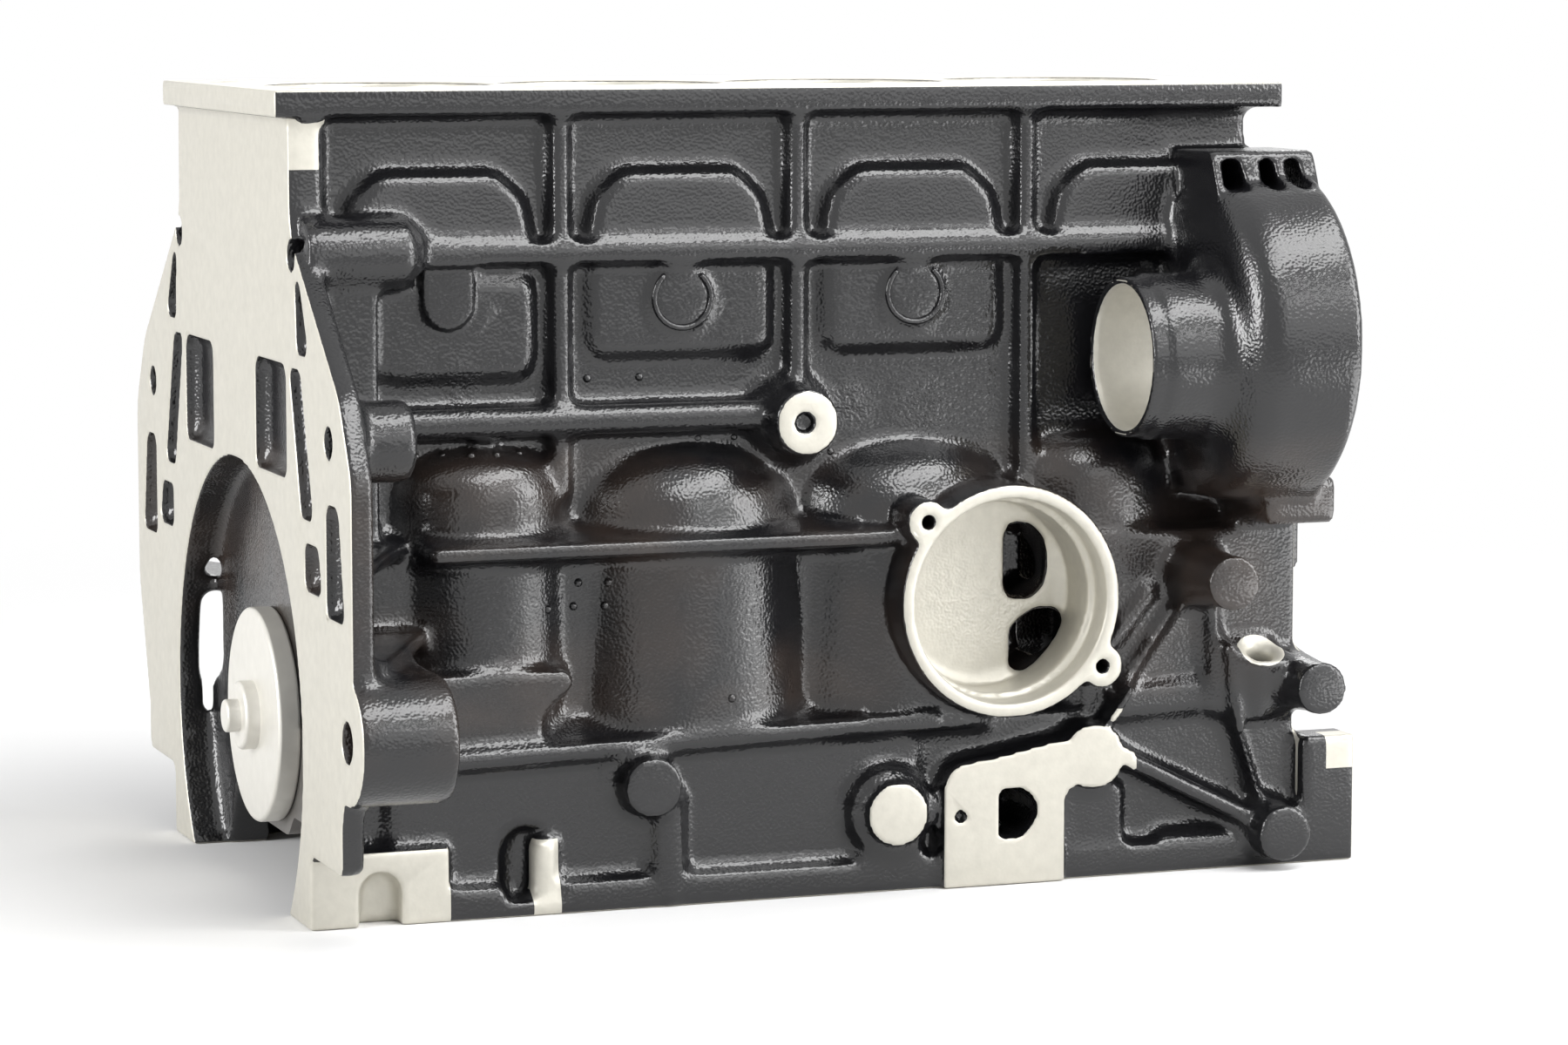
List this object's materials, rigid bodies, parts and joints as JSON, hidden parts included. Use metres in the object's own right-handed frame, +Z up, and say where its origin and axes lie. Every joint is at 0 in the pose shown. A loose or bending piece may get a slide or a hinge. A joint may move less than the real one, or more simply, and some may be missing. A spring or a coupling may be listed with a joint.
{
  "type": "engine block",
  "caption": "Bare black-painted engine block: closed deck over in-line cylinders, ribbed side, breather ring, pump volute with spigot, caps, crank bays and flange",
  "frame": {"origin": "centre of the sump face, under the third main bearing", "axes": "+X along the crankshaft from the bell-housing end to the timing end, +Y away from the water-pump side, +Z up through the deck"},
  "size_m": [0.402, 0.3375, 0.2872],
  "materials": {
    "casting": "gloss black paint over a rough casting, with bare machined faces",
    "caps": "bare grey iron, machined",
    "bolts": "dark plain steel",
    "plugs": "gloss black paint",
    "turned_steel": "bright turned steel"
  },
  "bodies": {
    "root": {"block_casting": "casting", "main_cap_1": "caps", "main_cap_2": "caps", "main_cap_3": "caps", "main_cap_4": "caps", "main_cap_5": "caps", "main_cap_bolts": "bolts", "core_plugs": "plugs", "end_plug": "turned_steel"}
  },
  "joints": []
}
